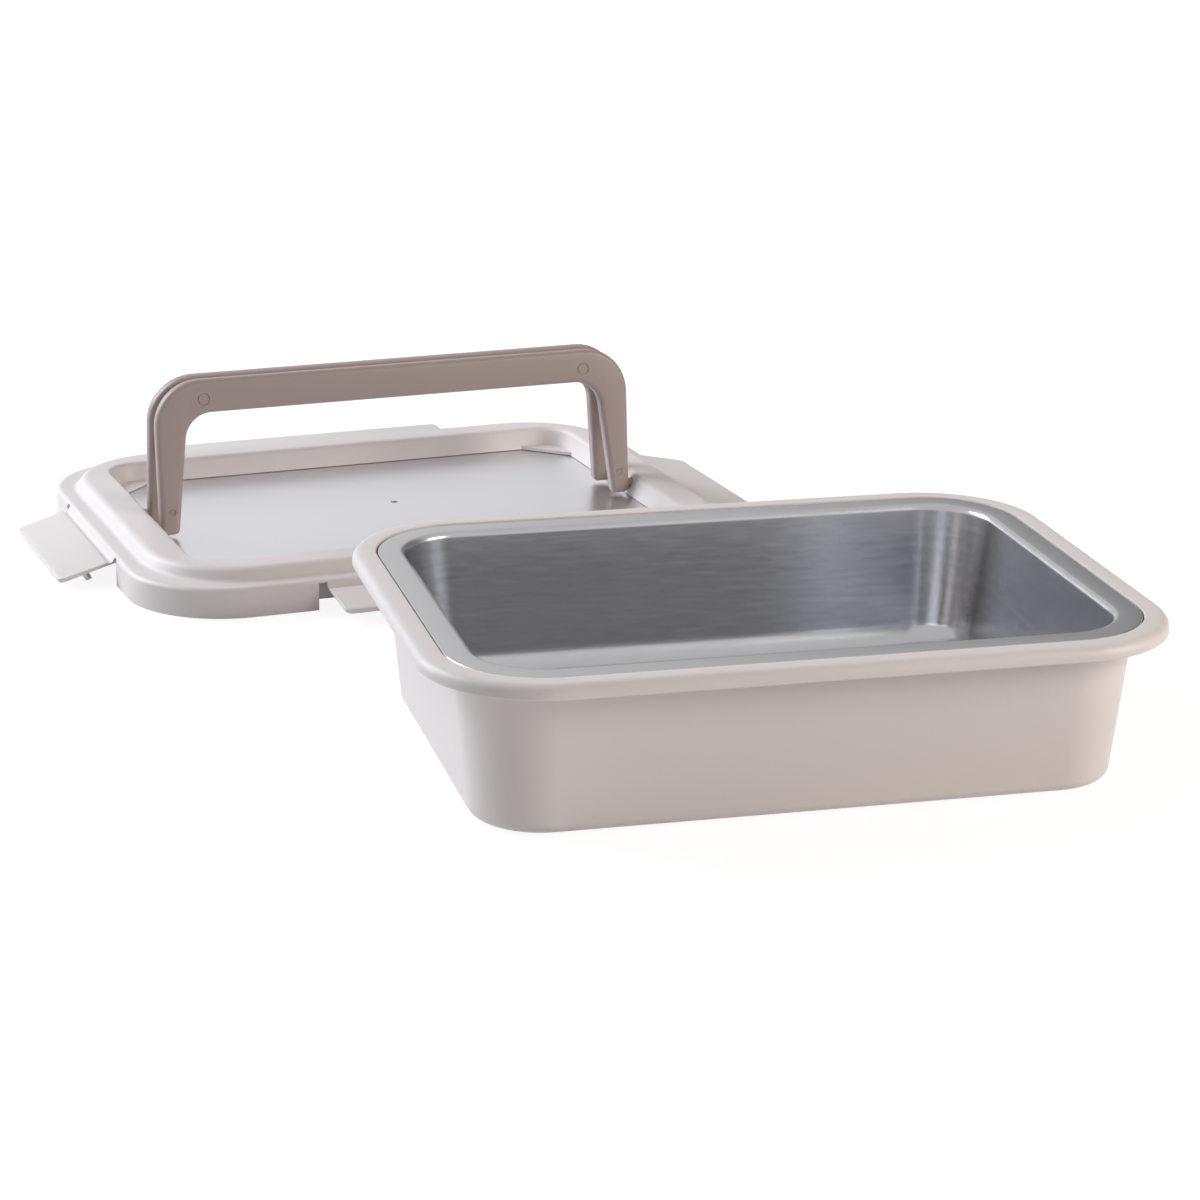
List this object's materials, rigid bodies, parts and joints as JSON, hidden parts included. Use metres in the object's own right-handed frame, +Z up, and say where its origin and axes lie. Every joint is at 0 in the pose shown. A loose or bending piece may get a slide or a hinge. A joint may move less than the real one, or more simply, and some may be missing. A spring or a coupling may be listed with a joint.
{
  "type": "grazing box",
  "caption": "Rectangular food-serving box: plastic tub with a lift-out steel tray and a latched carry lid with a steel panel and fold-flat bail handles.",
  "frame": {"origin": "centre of the tub's flat underside, on the surface that the tub and the lid stand on", "axes": "+X to the right along the tub's front, +Y to the back, towards the lid, +Z up"},
  "size_m": [0.4693, 0.6602, 0.096],
  "materials": {
    "shell_plastic": "satin",
    "taupe_plastic": "satin",
    "steel": "satin",
    "silicone": "matte"
  },
  "bodies": {
    "tub": {"tub": "shell_plastic"},
    "tray": {"tray": "steel"},
    "lid": {"lid_frame": "shell_plastic", "lid_panel": "steel", "lid_inner_cover": "shell_plastic", "lid_gasket": "silicone", "vent_grommet": "silicone"},
    "handle_front": {"handle_front": "taupe_plastic"},
    "handle_back": {"handle_back": "taupe_plastic"},
    "latch_front": {"latch_front": "shell_plastic"},
    "latch_right": {"latch_right": "shell_plastic"},
    "latch_back": {"latch_back": "shell_plastic"},
    "latch_left": {"latch_left": "shell_plastic"}
  },
  "joints": [
    {"name": "tray_lift", "type": "slide", "parent": "tub", "child": "tray", "axis": [0, 0, 1], "range_m": [0, 0.09]},
    {"name": "lid_lift", "type": "slide", "parent": "tub", "child": "lid", "axis": [0, 0, 1], "range_m": [0, 0.16]},
    {"name": "handle_front_fold", "type": "hinge", "parent": "lid", "child": "handle_front", "pos_m": [-0.09328, 0.35061, 0.0176], "axis": [0.9918, 0.1276, 0], "range_deg": [0, 96.5]},
    {"name": "handle_back_fold", "type": "hinge", "parent": "lid", "child": "handle_back", "pos_m": [-0.09672, 0.37739, 0.0176], "axis": [-0.9918, -0.1276, 0], "range_deg": [0, 96.5]},
    {"name": "latch_front_hinge", "type": "hinge", "parent": "lid", "child": "latch_front", "pos_m": [-0.07833, 0.23437, 0.0122], "axis": [0.9918, 0.1276, 0], "range_deg": [-39.5, 80.5]},
    {"name": "latch_right_hinge", "type": "hinge", "parent": "lid", "child": "latch_right", "pos_m": [0.07401, 0.38574, 0.0122], "axis": [-0.1276, 0.9918, 0], "range_deg": [-43, 77]},
    {"name": "latch_back_hinge", "type": "hinge", "parent": "lid", "child": "latch_back", "pos_m": [-0.11167, 0.49363, 0.0122], "axis": [-0.9918, -0.1276, 0], "range_deg": [-30, 90]},
    {"name": "latch_left_hinge", "type": "hinge", "parent": "lid", "child": "latch_left", "pos_m": [-0.26401, 0.34226, 0.0122], "axis": [0.1276, -0.9918, 0], "range_deg": [-47, 73]}
  ]
}
